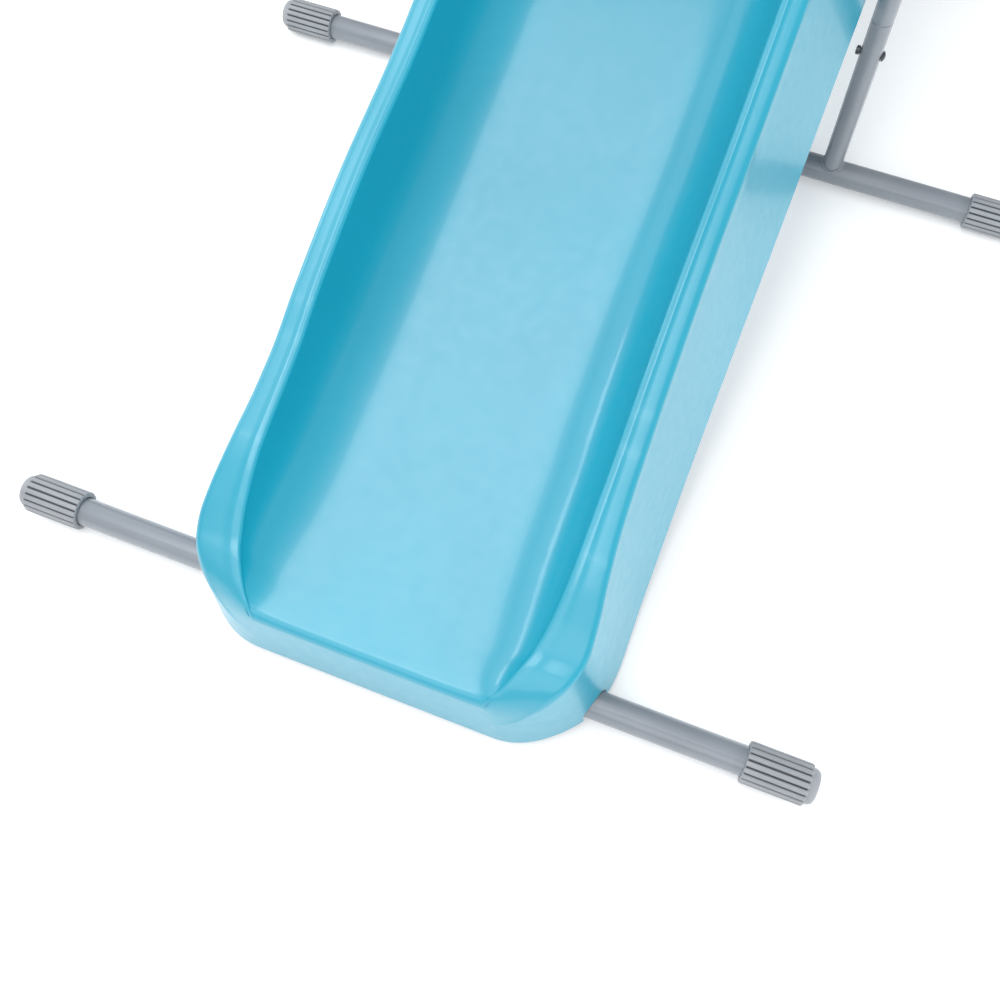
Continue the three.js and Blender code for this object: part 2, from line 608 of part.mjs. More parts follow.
// ---------------------------------------------------------------- assembly
place('chute', chute(), moulded);
for (const [end, y] of BARS) {
  place(`${end}_base_bar`, baseBar(end, y), painted);
  for (const [hand, side] of sides()) {
    place(`${end}_${hand}_foot_cap`, footCap(side, end, y), capPlastic);
  }
}
for (const [hand, side] of sides()) {
  place(`${hand}_leg_stub`, middleStub(side), painted);
  place(`${hand}_upper_leg`, upperLeg(side), painted);
  place(`${hand}_leg_joint_bolt`, throughBolt(side, LEG_X + TUBE_RADIUS, LEG_X - TUBE_RADIUS,
    MIDDLE_BAR_Y, JOINT_BOLT_Z), zincSteel);
  place(`${hand}_ladder_stub`, rearStub(side), painted);
  place(`${hand}_ladder_rail`, ladderRail(side), painted);
}
for (const [hand, side] of sides()) {
  place(`${hand}_front_saddle`, frontSaddle(side), blackPlastic);
  place(`${hand}_saddle_screw`, saddleScrew(side), zincSteel);
  const [, y, z] = onRail(0, REAR_JOINT_DISTANCE);
  place(`${hand}_ladder_joint_bolt`, throughBolt(side, RAIL_X + TUBE_RADIUS, RAIL_X - TUBE_RADIUS, y, z),
    zincSteel);
  place(`${hand}_pivot_bolt`, throughBolt(side, RAIL_X + TUBE_RADIUS, LEG_X - TUBE_RADIUS,
    PIVOT_Y, PIVOT_Z, PIVOT_BOLT_RADIUS), zincSteel);
  place(`${hand}_chute_bolt`, throughBolt(side, LEG_X + TUBE_RADIUS, SIDE_BOLT_NUT_X,
    SIDE_BOLT_Y, SIDE_BOLT_Z), zincSteel);
  place(`${hand}_chute_spacer`, spacer(side, LEG_X - TUBE_RADIUS - GAP, SIDE_SPACER_X,
    SIDE_BOLT_Y, SIDE_BOLT_Z, BOLT_RADIUS), blackPlastic);
  place(`${hand}_rail_end_plug`, railEndPlug(side), blackPlastic);
  place(`${hand}_leg_end_plug`, legEndPlug(side), blackPlastic);
  place(`${hand}_pivot_washer`, spacer(side, RAIL_X - TUBE_RADIUS - GAP, LEG_X + TUBE_RADIUS + GAP,
    PIVOT_Y, PIVOT_Z, PIVOT_BOLT_RADIUS), blackPlastic);
  place(`${hand}_upper_tread_bolt`, treadBolt(side, TREAD_HEIGHTS[1]), zincSteel);
  place(`${hand}_lower_tread_bolt`, treadBolt(side, TREAD_HEIGHTS[0]), zincSteel);
}
place('lower_tread', tread(TREAD_HEIGHTS[0]), treadPlastic);
place('upper_tread', tread(TREAD_HEIGHTS[1]), treadPlastic);
place('deck_hook_tube', hookTube(), painted);

slide.position.set(0, -(CHUTE_FRONT_Y + REAR_BAR_Y + CAP_RADIUS) / 2, 0);
export default slide;
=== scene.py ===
import json
import math

import bmesh
import bpy
import numpy as np
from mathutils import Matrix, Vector


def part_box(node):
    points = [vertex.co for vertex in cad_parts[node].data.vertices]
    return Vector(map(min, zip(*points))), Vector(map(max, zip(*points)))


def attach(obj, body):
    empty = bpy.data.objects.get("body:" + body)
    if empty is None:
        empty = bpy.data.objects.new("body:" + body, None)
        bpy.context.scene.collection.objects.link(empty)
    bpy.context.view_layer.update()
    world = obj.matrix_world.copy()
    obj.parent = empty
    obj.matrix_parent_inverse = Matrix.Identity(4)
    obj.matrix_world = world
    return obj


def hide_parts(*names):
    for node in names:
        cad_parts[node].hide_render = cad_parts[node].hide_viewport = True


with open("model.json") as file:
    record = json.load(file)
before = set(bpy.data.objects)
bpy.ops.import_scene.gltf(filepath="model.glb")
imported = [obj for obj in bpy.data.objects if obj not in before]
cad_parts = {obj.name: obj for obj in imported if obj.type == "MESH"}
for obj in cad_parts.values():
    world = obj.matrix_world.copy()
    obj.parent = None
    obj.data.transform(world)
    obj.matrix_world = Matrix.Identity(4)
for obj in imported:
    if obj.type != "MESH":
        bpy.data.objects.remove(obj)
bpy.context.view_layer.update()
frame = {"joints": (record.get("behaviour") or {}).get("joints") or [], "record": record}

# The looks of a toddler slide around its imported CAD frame. Metres, +Z up, and the
# chute runs down towards -Y. Shape tables are in millimetres from the front base bar.
MM = 0.001
BODY_OF = {n: b for b, nodes in frame["record"]["behaviour"]["bodies"].items() for n in nodes}
SIDES = (("left", -1), ("right", 1))


# ------------------------------------------------------------------ places from the frame
def centre(node):
    low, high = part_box(node)
    return (low + high) / 2


def extent(node):
    low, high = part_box(node)
    return high - low


FRONT_BAR = centre("front_base_bar")
MIDDLE_BAR = centre("middle_base_bar")
REAR_BAR = centre("rear_base_bar")
BAR_RADIUS = extent("front_base_bar").z / 2
CAP_RADIUS = FRONT_BAR.z
TUBE_RADIUS = extent("deck_hook_tube").z / 2
TUBE_WALL = 1.2 * MM
GAP = 0.3 * MM
BOLT_RADIUS = 3 * MM
PIVOT_BOLT_RADIUS = 4 * MM
LEG_X = centre("right_leg_stub").x
RAIL_X = centre("right_ladder_stub").x
PIVOT = Vector(frame["joints"][0]["pos_m"])


def y_at(millimetres):
    """Part-frame Y of a distance in millimetres behind the front base bar."""
    return FRONT_BAR.y + millimetres * MM


# ------------------------------------------------------------------ materials
def material(name, colour, roughness, build):
    """A Principled material whose detail nodes are made by build(nodes, links, shader)."""
    mat = bpy.data.materials.new(name)
    mat.use_nodes = True
    nodes = mat.node_tree.nodes
    links = mat.node_tree.links
    shader = nodes["Principled BSDF"]
    shader.inputs["Base Color"].default_value = (*colour, 1)
    shader.inputs["Roughness"].default_value = roughness
    build(nodes, links, shader, colour, roughness)
    return mat


def noise(nodes, links, scale, detail=2.0, stretch=(1, 1, 1)):
    """Noise over object coordinates, which stay with the piece as it moves."""
    coordinates = nodes.new("ShaderNodeTexCoord")
    mapping = nodes.new("ShaderNodeMapping")
    mapping.inputs["Scale"].default_value = stretch
    texture = nodes.new("ShaderNodeTexNoise")
    texture.inputs["Scale"].default_value = scale
    texture.inputs["Detail"].default_value = detail
    links.new(coordinates.outputs["Object"], mapping.inputs["Vector"])
    links.new(mapping.outputs["Vector"], texture.inputs["Vector"])
    return texture.outputs["Fac"]


def ramp(nodes, links, factor, low, high, start=0.35, end=0.65):
    """Maps a factor to a run between two colours."""
    node = nodes.new("ShaderNodeValToRGB")
    node.color_ramp.elements[0].position = start
    node.color_ramp.elements[1].position = end
    node.color_ramp.elements[0].color = (*low, 1)
    node.color_ramp.elements[1].color = (*high, 1)
    links.new(factor, node.inputs["Fac"])
    return node.outputs["Color"]


def vary_roughness(nodes, links, shader, factor, low, high):
    node = nodes.new("ShaderNodeMapRange")
    node.inputs["From Min"].default_value = 0.3
    node.inputs["From Max"].default_value = 0.7
    node.inputs["To Min"].default_value = low
    node.inputs["To Max"].default_value = high
    links.new(factor, node.inputs["Value"])
    links.new(node.outputs["Result"], shader.inputs["Roughness"])


def bump(nodes, links, shader, factor, distance, strength=1.0):
    node = nodes.new("ShaderNodeBump")
    node.inputs["Strength"].default_value = strength
    node.inputs["Distance"].default_value = distance
    links.new(factor, node.inputs["Height"])
    earlier = shader.inputs["Normal"].links
    if earlier:
        links.new(earlier[0].from_socket, node.inputs["Normal"])
    links.new(node.outputs["Normal"], shader.inputs["Normal"])


def tint(colour, factor):
    return tuple(min(1.0, c * factor) for c in colour)


def moulded_plastic(nodes, links, shader, colour, roughness):
    """Glossy blow-moulded plastic: faint colour drift, a soft ripple and fine grain."""
    drift = noise(nodes, links, 6.0, 1.0)
    links.new(ramp(nodes, links, drift, tint(colour, 0.97), tint(colour, 1.03)),
              shader.inputs["Base Color"])
    vary_roughness(nodes, links, shader, noise(nodes, links, 90.0, 3.0), roughness - 0.03,
                   roughness + 0.04)
    bump(nodes, links, shader, noise(nodes, links, 28.0, 1.0), 0.0004, 0.5)
    bump(nodes, links, shader, noise(nodes, links, 900.0, 2.0), 0.00002, 0.6)
    shader.inputs["Specular IOR Level"].default_value = 0.8
    shader.inputs["Coat Weight"].default_value = 0.4
    shader.inputs["Coat Roughness"].default_value = 0.12


def powder_coat(nodes, links, shader, colour, roughness):
    """Satin powder coat: orange-peel skin and slight tone drift."""
    drift = noise(nodes, links, 14.0, 2.0)
    links.new(ramp(nodes, links, drift, tint(colour, 0.94), tint(colour, 1.05)),
              shader.inputs["Base Color"])
    vary_roughness(nodes, links, shader, noise(nodes, links, 160.0, 2.0), roughness - 0.05,
                   roughness + 0.06)
    bump(nodes, links, shader, noise(nodes, links, 1400.0, 1.5), 0.00006, 0.8)
    shader.inputs["Metallic"].default_value = 0.15
    shader.inputs["Coat Weight"].default_value = 0.6
    shader.inputs["Coat Roughness"].default_value = 0.1


def matte_plastic(nodes, links, shader, colour, roughness):
    """Fine-grained injection-moulded plastic."""
    drift = noise(nodes, links, 40.0, 3.0)
    links.new(ramp(nodes, links, drift, tint(colour, 0.93), tint(colour, 1.06)),
              shader.inputs["Base Color"])
    vary_roughness(nodes, links, shader, noise(nodes, links, 300.0, 2.0), roughness - 0.06,
                   roughness + 0.08)
    bump(nodes, links, shader, noise(nodes, links, 2200.0, 2.0), 0.00008, 0.8)


def ribbed_plastic_with_painted_shade(nodes, links, shader, colour, roughness):
    """Grained plastic with painted shade: its base colour is darkened down in its grooves."""
    matte_plastic(nodes, links, shader, colour, roughness)
    # Painted shade: the groove mask mixes the grey towards a dark tone between the ribs.
    groove = nodes.new("ShaderNodeAttribute")
    groove.attribute_name = "groove"
    painted_groove_shade_mix = nodes.new("ShaderNodeMixRGB")
    links.new(groove.outputs["Fac"], painted_groove_shade_mix.inputs["Fac"])
    links.new(shader.inputs["Base Color"].links[0].from_socket, painted_groove_shade_mix.inputs["Color1"])
    painted_groove_shade_mix.inputs["Color2"].default_value = (*tint(colour, 0.22), 1)
    links.new(painted_groove_shade_mix.outputs["Color"], shader.inputs["Base Color"])
    shader.inputs["Coat Weight"].default_value = 0.25
    shader.inputs["Coat Roughness"].default_value = 0.3


def zinc_steel(nodes, links, shader, colour, roughness):
    """Dark zinc plate with fine turned scratches."""
    drift = noise(nodes, links, 220.0, 3.0)
    links.new(ramp(nodes, links, drift, tint(colour, 0.8), tint(colour, 1.25)),
              shader.inputs["Base Color"])
    vary_roughness(nodes, links, shader, noise(nodes, links, 900.0, 2.0, (0.1, 1, 1)),
                   roughness - 0.1, roughness + 0.12)
    bump(nodes, links, shader, noise(nodes, links, 1800.0, 1.0, (0.1, 1, 1)), 0.00003, 0.7)
    shader.inputs["Metallic"].default_value = 0.9


MATERIALS = {
    "chute": material("chute_plastic", (0.002, 0.285, 0.405), 0.38, moulded_plastic),
    "frame_paint": material("grey_powder_coat", (0.215, 0.235, 0.262), 0.38, powder_coat),
    # The foot caps' material carries painted shade in the grooves between the ribs.
    "foot_cap": material("grey_cap_plastic_painted_groove_shade", (0.27, 0.285, 0.305), 0.5, ribbed_plastic_with_painted_shade),
    "tread": material("grey_tread_plastic", (0.30, 0.33, 0.36), 0.5, matte_plastic),
    "black_plastic": material("black_plastic", (0.02, 0.022, 0.025), 0.45, matte_plastic),
    "fastener": material("dark_zinc_steel", (0.10, 0.105, 0.115), 0.38, zinc_steel),
}


# ------------------------------------------------------------------ mesh building
def make_piece(name, points, faces, slot, node, sharp_degrees=38):
    """A smooth-shaded mesh that rides on its CAD node's body and stands for that node."""
    mesh = bpy.data.meshes.new(name)
    mesh.from_pydata([tuple(p) for p in points], [], faces)
    piece = bpy.data.objects.new(name, mesh)
    bpy.context.scene.collection.objects.link(piece)
    finish_piece(piece, slot, node, sharp_degrees)
    return piece


def finish_piece(piece, slot, node, sharp_degrees=38):
    smooth_by_angle(piece.data, sharp_degrees)
    piece.data.materials.clear()
    piece.data.materials.append(MATERIALS[slot])
    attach(piece, BODY_OF[node])
    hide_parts(node)


def smooth_by_angle(mesh, sharp_degrees):
    work = bmesh.new()
    work.from_mesh(mesh)
    bmesh.ops.remove_doubles(work, verts=work.verts, dist=1e-6)
    bmesh.ops.dissolve_degenerate(work, edges=work.edges, dist=1e-7)
    bmesh.ops.recalc_face_normals(work, faces=work.faces)
    limit = math.radians(sharp_degrees)
    for edge in work.edges:
        edge.smooth = len(edge.link_faces) == 2 and edge.calc_face_angle(0.0) < limit
    for face in work.faces:
        face.smooth = True
    work.to_mesh(mesh)
    work.free()
    mesh.update()


def join_meshes(parts):
    """One list of points and faces from several."""
    points, faces = [], []
    for more_points, more_faces in parts:
        base = len(points)
        points += [tuple(p) for p in more_points]
        faces += [tuple(i + base for i in face) for face in more_faces]
    return points, faces


def loops_mesh(loops, closed=False):
    """Skins equal loops of points in order; the two ends are filled unless closed."""
    count = len(loops[0])
    points = [tuple(p) for loop in loops for p in loop]
    faces = []
    last = len(loops) if closed else len(loops) - 1
    for k in range(last):
        a, b = k * count, (k + 1) % len(loops) * count
        for i in range(count):
            j = (i + 1) % count
            faces.append((a + i, a + j, b + j, b + i))
    if not closed:
        faces.append(tuple(reversed(range(count))))
        faces.append(tuple(range((len(loops) - 1) * count, len(loops) * count)))
    return points, faces


def across(direction):
    """Two unit vectors square to a direction."""
    direction = Vector(direction).normalized()
    helper = Vector((1, 0, 0)) if abs(direction.x) < 0.9 else Vector((0, 0, 1))
    first = direction.cross(helper).normalized()
    return first, direction.cross(first).normalized()


def revolve(profile, origin, direction, segments=48, radius_at=None):
    """Turns a [radius, height] profile about a line. The profile is open and starts and
    ends near the axis, or closes on itself when its last point repeats its first."""
    first, second = across(direction)
    origin = Vector(origin)
    direction = Vector(direction).normalized()
    closed = profile[0] == profile[-1]
    loops = []
    for radius, height in profile[:-1] if closed else profile:
        loop = []
        for k in range(segments):
            angle = 2 * math.pi * k / segments
            reach = radius_at(radius, angle) if radius_at else radius
            loop.append(origin + direction * height
                        + (first * math.cos(angle) + second * math.sin(angle)) * max(reach, 1e-5))
        loops.append(loop)
    return loops_mesh(loops, closed)


def ring_around(point, tangent, x_axis, radius, segments):
    """A loop of points round a path point; the path lies in a plane square to x_axis."""
    other = Vector(tangent).normalized().cross(x_axis)
    return [point + (x_axis * math.cos(2 * math.pi * k / segments)
                     + other * math.sin(2 * math.pi * k / segments)) * radius
            for k in range(segments)]


def tube(path, outer, inner, segments=48, chamfer=0.4 * MM):
    """A hollow tube along points in a plane, with its ends' edges eased."""
    plane = plane_normal(path)
    tangents = path_tangents(path)

    def ring(i, radius, inset=0.0):
        shift = tangents[i] * (inset if i == 0 else -inset)
        return ring_around(path[i] + shift, tangents[i], plane, radius, segments)

    last = len(path) - 1
    loops = [ring(0, outer - chamfer), ring(0, outer, chamfer)]
    loops += [ring(i, outer) for i in range(1, last)]
    loops += [ring(last, outer, chamfer), ring(last, outer - chamfer)]
    loops += [ring(i, inner) for i in range(last, -1, -1)]
    return loops_mesh(loops, closed=True)


def plane_normal(path):
    ends = (path[-1] - path[0]).normalized()
    for p in path[1:-1]:
        normal = ends.cross((p - path[0]).normalized())
        if normal.length > 1e-4:
            return normal.normalized()
    return across(ends)[0]


def path_tangents(path):
    tangents = []
    for i in range(len(path)):
        before, after = path[max(i - 1, 0)], path[min(i + 1, len(path) - 1)]
        tangents.append((after - before).normalized())
    return tangents


def bent_path(start, corner, end, radius, steps=20, straight=12):
    """Two straight runs and one bend, each cut into short steps."""
    back, ahead = (start - corner).normalized(), (end - corner).normalized()
    reach = radius / math.tan(back.angle(ahead) / 2)
    a, b = corner + back * reach, corner + ahead * reach
    points = [start.lerp(a, k / straight) for k in range(straight)]
    for k in range(steps + 1):
        t = k / steps
        points.append(a * (1 - t) ** 2 + corner * 2 * t * (1 - t) + b * t * t)
    points += [b.lerp(end, k / straight) for k in range(1, straight + 1)]
    return points


# ------------------------------------------------------------------ chute
CHUTE_FRONT = -60
CHUTE_REAR = 1050
CHUTE_WALL = 4
CORNER = 68
LIP_ROLL = 10
DECK_HEIGHT = 387
BAR_NOTCH = 16
OUTER_ROUND = 6.5
INNER_ROUND = 4
RIM_BEAD = 0.9
RIM_FALL = 0.6
FLAT_TO_RIM = 30
WALL_FOOT_REACH = 0.66
WALL_HEAD_DROP = 0.72
WALL_HEAD_LEAN = 7
FLOOR_STEPS = 10
WALL_STEPS = 24
BAND_STEPS = 10
SKIRT_STEPS = 14
FRONT_FACE_STEPS = 8
HOOK_FLANGE_HALF_WIDTH = 110
HOOK_FLANGE_DROP = 34
HOOK_FLANGE_THICKNESS = 4.4
FLOOR_HEIGHT = [[-60, 94], [0, 97], [60, 105], [130, 121], [200, 143], [300, 174], [420, 206],
                [520, 238], [650, 282], [800, 336], [900, 371], [960, 386], [1000, 387],
                [1050, 387]]
RIM_RISE = [[-60, 2], [-50, 9], [-40, 18], [-25, 28], [-10, 34], [20, 49], [60, 65], [110, 72],
            [150, 76], [200, 85], [300, 92], [420, 90], [520, 93], [650, 95], [940, 95],
            [1000, 78], [1050, 40]]
RIM_HALF_WIDTH = [[-60, 184], [20, 180], [60, 175], [110, 171], [200, 169], [400, 168],
                  [1050, 170]]
RIM_INNER_HALF_WIDTH = [[-60, 106], [-50, 114], [-40, 121], [-25, 129], [-10, 135], [20, 141],
                        [70, 144], [1050, 145]]
FLOOR_FLAT_HALF_WIDTH = [[-60, 60], [800, 60], [880, 62], [980, 100], [1050, 108]]
RIM_TILT = [[-60, 34], [-50, 10], [-38, 2], [-20, 0], [1050, 0]]
SKIRT_FLARE = [[-60, 1], [-40, 4], [0, 16], [60, 28], [250, 34], [560, 40], [940, 40], [1050, 20]]
SKIRT_BOTTOM = [[-60, 9], [-30, 12], [70, 12], [160, 34], [250, 74], [500, 177], [780, 280],
                [900, 314], [950, 324], [1005, 382], [1050, 383.4]]


def along(points, y):
    """Smooth curve through [y, value] points."""
    last = len(points) - 1
    if y <= points[0][0]:
        return points[0][1]
    if y >= points[last][0]:
        return points[last][1]
    i = 0
    while y > points[i + 1][0]:
        i += 1

    def slope(k):
        a, b = points[max(k - 1, 0)], points[min(k + 1, last)]
        return (b[1] - a[1]) / (b[0] - a[0])

    width = points[i + 1][0] - points[i][0]
    t = (y - points[i][0]) / width
    h = 3 * t * t - 2 * t ** 3
    rise = slope(i) * width * (t - 2 * t * t + t ** 3)
    fall = slope(i + 1) * width * (t ** 3 - t * t)
    return points[i][1] * (1 - h) + points[i + 1][1] * h + rise + fall


def circle_drop(radius, distance):
    """How far a quarter circle still is from its full reach at a distance from its start."""
    if distance >= radius:
        return 0.0
    return radius - math.sqrt(radius ** 2 - (radius - distance) ** 2)


def chute_half(y):
    """Right half of the upper surface at y, from the middle of the floor to the skirt's foot."""
    s = y - CHUTE_FRONT
    floor = along(FLOOR_HEIGHT, y) - circle_drop(LIP_ROLL, s)
    rise = along(RIM_RISE, y)
    outer = along(RIM_HALF_WIDTH, y) - circle_drop(CORNER, s)
    top = floor + rise
    tilt = along(RIM_TILT, y)
    outer_round = min(OUTER_ROUND, rise * 0.42)
    inner_round = min(INNER_ROUND, rise * 0.3)
    inner = min(along(RIM_INNER_HALF_WIDTH, y), outer - 1.9 * outer_round - inner_round)
    flat = min(along(FLOOR_FLAT_HALF_WIDTH, y), inner - FLAT_TO_RIM)
    half = [(flat * k / FLOOR_STEPS, floor) for k in range(FLOOR_STEPS)]
    half += bezier((flat, floor), (flat + WALL_FOOT_REACH * (inner - flat), floor),
                   (inner - WALL_HEAD_LEAN, top - WALL_HEAD_DROP * rise),
                   (inner, top - inner_round), WALL_STEPS)
    half += arc(inner + inner_round, top - inner_round, inner_round, 180, 90, 6)[1:]
    band_start, band_end = inner + inner_round, outer - outer_round
    bead = min(RIM_BEAD, rise * 0.02)
    for k in range(1, BAND_STEPS):
        t = k / BAND_STEPS
        swell = bead * math.exp(-((t - 0.15) / 0.13) ** 2)
        half.append((band_start + (band_end - band_start) * t,
                     top + swell - (RIM_FALL + tilt) * t * t))
    half += arc(band_end, top - RIM_FALL - tilt - outer_round, outer_round, 90, 0, 9)
    knee_x, knee_z = half[-1]
    foot_x, foot_z = outer + along(SKIRT_FLARE, y), along(SKIRT_BOTTOM, y)
    reach = 1.0
    if abs(y) < BAR_NOTCH:
        arch = CAP_RADIUS / MM + math.sqrt(BAR_NOTCH ** 2 - y * y)
        reach = min(1.0, (knee_z - max(arch, foot_z)) / (knee_z - foot_z))
    for k in range(1, SKIRT_STEPS + 1):
        t = k / SKIRT_STEPS * reach
        half.append((knee_x + (foot_x - knee_x) * t, knee_z + (foot_z - knee_z) * t))
    return half


def bezier(a, b, c, d, steps):
    points = []
    for k in range(steps + 1):
        t = k / steps
        w = ((1 - t) ** 3, 3 * t * (1 - t) ** 2, 3 * t * t * (1 - t), t ** 3)
        points.append(tuple(w[0] * a[i] + w[1] * b[i] + w[2] * c[i] + w[3] * d[i]
                            for i in (0, 1)))
    return points


def arc(x, z, radius, start, end, steps):
    points = []
    for k in range(steps + 1):
        angle = math.radians(start + (end - start) * k / steps)
        points.append((x + radius * math.cos(angle), z + radius * math.sin(angle)))
    return points


def chute_stations():
    stations = [CHUTE_FRONT + LIP_ROLL * (1 - math.cos(math.radians(a))) for a in range(0, 91, 6)]
    stations += list(np.arange(CHUTE_FRONT + LIP_ROLL + 1.5, CHUTE_FRONT + CORNER + 30, 2.2))
    stations += [-BAR_NOTCH - 0.05, -BAR_NOTCH + 0.02, BAR_NOTCH - 0.02, BAR_NOTCH + 0.05]
    stations += [BAR_NOTCH * math.sin(math.radians(a)) for a in range(-80, 81, 8)]
    stations += list(np.arange(CHUTE_FRONT + CORNER + 32, 936, 8.0))
    stations += list(np.arange(938, CHUTE_REAR + 0.1, 4.0))
    return sorted(set(round(float(s), 3) for s in stations))


def chute_front_face(first_row):
    """Rows of points from the lip down to the front edge's foot."""
    foot = along(SKIRT_BOTTOM, CHUTE_FRONT)
    reach = first_row[-1][0]
    count = len(first_row)
    rows = []
    for k in range(FRONT_FACE_STEPS, 0, -1):
        t = k / FRONT_FACE_STEPS
        row = []
        for i, (x, y, z) in enumerate(first_row):
            target = -reach + 2 * reach * i / (count - 1)
            row.append((x + (target - x) * t, y, z + (foot - z) * t))
        rows.append(row)
    return rows


def make_chute():
    rows = []
    for y in chute_stations():
        half = [(x, y, z) for x, z in chute_half(y)]
        rows.append([(-x, y, z) for x, y, z in reversed(half[1:])] + half)
    rows = chute_front_face(rows[0]) + rows
    count = len(rows[0])
    points = [(x * MM, y_at(y), z * MM) for row in rows for x, y, z in row]
    faces = []
    for k in range(len(rows) - 1):
        for i in range(count - 1):
            a = k * count + i
            faces.append((a, a + 1, a + count + 1, a + count))
    mesh = bpy.data.meshes.new("moulded_chute")
    mesh.from_pydata(points, [], faces)
    piece = bpy.data.objects.new("moulded_chute", mesh)
    bpy.context.scene.collection.objects.link(piece)
    thicken(piece, CHUTE_WALL * MM)
    finish_piece(piece, "chute", "chute", 60)
    return piece


def make_hook_flange():
    """The strip under the chute's rear edge that drops behind the hook tube."""
    back, ease, end_ease = CHUTE_REAR - 0.3, 1.2, 0.6
    front = back - HOOK_FLANGE_THICKNESS
    low, high = DECK_HEIGHT - HOOK_FLANGE_DROP, DECK_HEIGHT - 3
    outline = arc(front + ease, low + ease, ease, 180, 270, 4)
    outline += arc(back - ease, low + ease, ease, 270, 360, 4)
    outline += [(back, high), (front, high)]
    half = HOOK_FLANGE_HALF_WIDTH
    loops = []
    for x, shrink in ((-half, end_ease), (-half + 1, 0), (half - 1, 0), (half, end_ease)):
        loops.append([Vector((x * MM, y_at(min(max(y, front + shrink), back - shrink)),
                              max(z, low + shrink) * MM)) for y, z in outline])
    make_piece("chute_hook_flange", *loops_mesh(loops), "chute", "chute", 40)


def thicken(piece, wall):
    solid = piece.modifiers.new("wall", "SOLIDIFY")
    solid.thickness = wall
    solid.offset = -1
    apply_modifiers(piece)


def apply_modifiers(piece):
    bpy.context.view_layer.update()
    graph = bpy.context.evaluated_depsgraph_get()
    made = bpy.data.meshes.new_from_object(piece.evaluated_get(graph))
    piece.modifiers.clear()
    piece.data = made


# ------------------------------------------------------------------ base bars and caps
CAP_RIBS = 18
CAP_RIB_DEPTH = 2.0 * MM
CAP_DOME = 8 * MM
CAP_ENGAGED = 50 * MM
POINTS_PER_RIB = 14


def cross_path(node, steps):
    """Points along X through the middle of a node, from its left end to its right."""
    low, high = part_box(node)
    middle = (low + high) / 2
    return [Vector((low.x + (high.x - low.x) * k / steps, middle.y, middle.z))
            for k in range(steps + 1)]


def make_bars():
    for node in ("front_base_bar", "middle_base_bar", "rear_base_bar"):
        shape = tube(cross_path(node, 24), BAR_RADIUS, BAR_RADIUS - TUBE_WALL, 64)
        make_piece(node + "_tube", *shape, "frame_paint", node)


def rib_radius(depth_share):
    """Radius of the ribbed sleeve at an angle: round-shouldered ribs with flat grooves."""
    def at(radius, angle):
        phase = (angle * CAP_RIBS / (2 * math.pi)) % 1.0
        ridge = 0.5 + 0.5 * math.cos(2 * math.pi * phase)
        groove = 1 - min(1.0, ridge * 3.6) ** 0.8
        crown = 0.15 * (1 - ridge)
        return radius - CAP_RIB_DEPTH * (groove + crown) / 1.15 * depth_share
    return at


def make_foot_cap(node, side):
    low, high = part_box(node)
    middle = (low + high) / 2
    length = high.x - low.x
    inner_x = low.x if side > 0 else high.x
    sleeve = length - CAP_DOME
    bore = BAR_RADIUS + GAP
    origin = Vector((inner_x, middle.y, middle.z))
    outer = CAP_RADIUS
    core = outer - CAP_RIB_DEPTH - 1.0 * MM
    rows = [(bore, CAP_ENGAGED, 0), (bore, 1 * MM, 0), (bore + 0.6 * MM, 0, 0),
            (outer - 1.3 * MM, 0, 0.3), (outer - 0.3 * MM, 0.6 * MM, 0.8), (outer, 1.6 * MM, 1)]
    rows += [(outer, 1.6 * MM + (sleeve - 4 * MM) * k / 8, 1) for k in range(1, 9)]
    rows += [(outer - 0.3 * MM, sleeve - 1.0 * MM, 0.9), (outer - 1.2 * MM, sleeve - 0.2 * MM, 0.4),
             (core + 0.2 * MM, sleeve, 0), (core, sleeve + 0.4 * MM, 0)]
    for a in range(10, 91, 10):
        angle = math.radians(a)
        rows.append((core * (0.72 + 0.28 * math.cos(angle)),
                     sleeve + 0.4 * MM + (CAP_DOME - 0.9 * MM) * math.sin(angle), 0))
    rows += [(core * 0.4, length - 0.1 * MM, 0), (0.0, length, 0)]
    segments = CAP_RIBS * POINTS_PER_RIB
    loops = []
    first, second = Vector((0, 1, 0)), Vector((0, 0, 1))
    for radius, height, share in rows:
        at = rib_radius(share)
        loop = []
        for k in range(segments):
            angle = 2 * math.pi * (k / segments) - math.pi / 2
            reach = max(at(radius, angle + math.pi / 2), 1e-5)
            loop.append(origin + Vector((side * height, 0, 0))
                        + (first * math.cos(angle) + second * math.sin(angle)) * reach)
        loops.append(loop)
    piece = make_piece(node + "_sleeve", *loops_mesh(loops), "foot_cap", node, 32)
    # Painted shade: the grooves get a mask that darkens the cap colour there.
    mark_painted_groove_shade(piece, origin, side, sleeve)


def mark_painted_groove_shade(piece, origin, side, sleeve):
    """Stores how deep each point of the sleeve lies between the ribs, as the mask for the painted
    shade in the material.
    """
    layer = piece.data.attributes.new("groove", "FLOAT", "POINT")
    for vertex, value in zip(piece.data.vertices, layer.data):
        height = (vertex.co.x - origin.x) * side
        reach = math.hypot(vertex.co.y - origin.y, vertex.co.z - origin.z)
        depth = (CAP_RADIUS - 0.35 * MM - reach) / CAP_RIB_DEPTH
        on_ribs = 1.2 * MM < height < sleeve - 1.2 * MM
        value.value = min(1.0, max(0.0, depth * 1.6)) if on_ribs else 0.0


# ------------------------------------------------------------------ legs and ladder tubes
LEG_BEND_Z = 345 * MM
LEG_BEND_RADIUS = 90 * MM
TUBE_PAST_PIVOT = 18 * MM
SPIGOT_RADIUS = 9.5 * MM
RAIL_TOP = Vector((0, y_at(948), 592 * MM))
RAIL_BEND_RADIUS = 62 * MM
REAR_STUB_LENGTH = 82 * MM
REAR_SPIGOT_LENGTH = 50 * MM
SPIGOT_PAST_JOINT = 5 * MM


